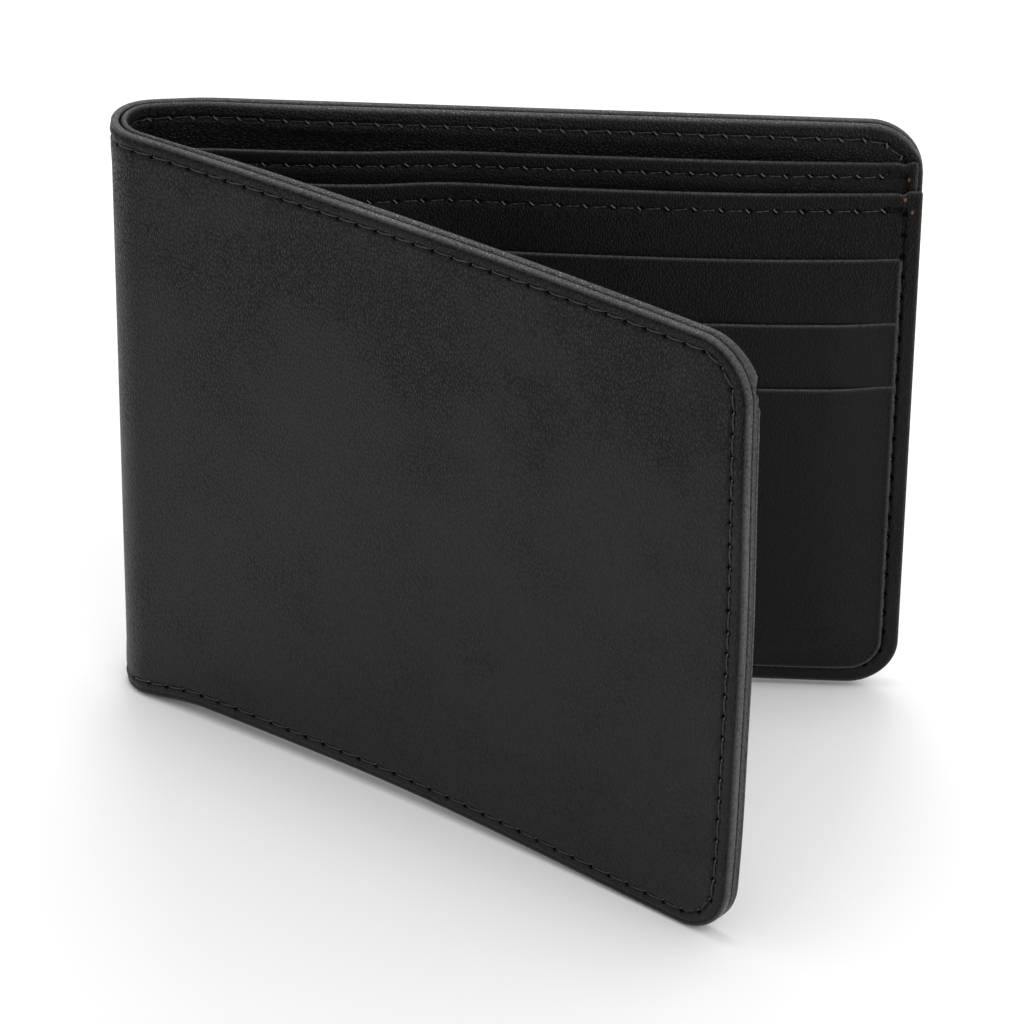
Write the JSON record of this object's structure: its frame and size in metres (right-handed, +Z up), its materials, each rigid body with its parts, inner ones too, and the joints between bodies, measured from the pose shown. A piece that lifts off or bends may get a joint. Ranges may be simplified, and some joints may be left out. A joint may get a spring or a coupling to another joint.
{
  "type": "bifold wallet",
  "caption": "Bifold leather wallet with a sewn cover, full-width bill compartment, divider, inner panel and stepped card slots, folding at a rounded spine.",
  "frame": {"origin": "centre of the footprint's box, on the surface that the bottom edges stand on, with the wallet part open", "axes": "+Z up along the fold, +X along the back leaf from the spine to its free edge, +Y out of the back leaf's outer face"},
  "size_m": [0.1115, 0.0718, 0.089],
  "materials": {
    "cover_leather": "black, satin, fine pebble grain",
    "lining_leather": "black, soft matte",
    "inner_leather": "black, satin, smooth grain",
    "interlining": "pressed fibre sheet",
    "tail_fabric": "thin woven black lining",
    "thread": "waxed black thread"
  },
  "bodies": {
    "back_leaf": {"back_cover": "cover_leather", "back_cover_thread": "thread", "back_interlining": "interlining", "back_lining": "lining_leather", "back_lining_thread": "thread", "back_divider": "inner_leather", "back_divider_thread": "thread", "back_panel_thread": "thread", "back_panel": "inner_leather", "back_seam_thread": "thread", "back_slot_upper": "inner_leather", "back_tail_upper": "tail_fabric", "back_slot_middle": "inner_leather", "back_tail_middle": "tail_fabric", "back_slot_lower": "inner_leather", "back_pocket_thread": "thread"},
    "spine": {"spine_cover": "cover_leather", "spine_cover_thread": "thread", "spine_lining": "lining_leather", "spine_lining_thread": "thread", "spine_divider": "inner_leather", "spine_divider_thread": "thread", "spine_panel": "inner_leather", "spine_panel_thread": "thread"},
    "front_leaf": {"front_cover": "cover_leather", "front_cover_thread": "thread", "front_interlining": "interlining", "front_lining": "lining_leather", "front_lining_thread": "thread", "front_divider": "inner_leather", "front_divider_thread": "thread", "front_panel_thread": "thread", "front_panel": "inner_leather", "front_seam_thread": "thread", "front_slot_upper": "inner_leather", "front_tail_upper": "tail_fabric", "front_slot_middle": "inner_leather", "front_tail_middle": "tail_fabric", "front_slot_lower": "inner_leather", "front_pocket_thread": "thread"}
  },
  "joints": [
    {"name": "back_fold", "type": "hinge", "parent": "back_leaf", "child": "spine", "pos_m": [-0.05303, 0.03489, 0.0445], "axis": [0, 0, -1], "range_deg": [-17, 73], "deforming": ["spine_lining", "spine_lining_thread", "spine_divider", "spine_divider_thread", "spine_panel", "spine_panel_thread"]},
    {"name": "front_fold", "type": "hinge", "parent": "spine", "child": "front_leaf", "pos_m": [-0.05582, 0.02576, 0.0445], "axis": [0, 0, -1], "range_deg": [-17, 73], "deforming": ["spine_lining", "spine_lining_thread", "spine_divider", "spine_divider_thread", "spine_panel", "spine_panel_thread"]}
  ],
  "couplings": [
    {"joint": "front_fold", "follows": "back_fold", "ratio": 1}
  ]
}
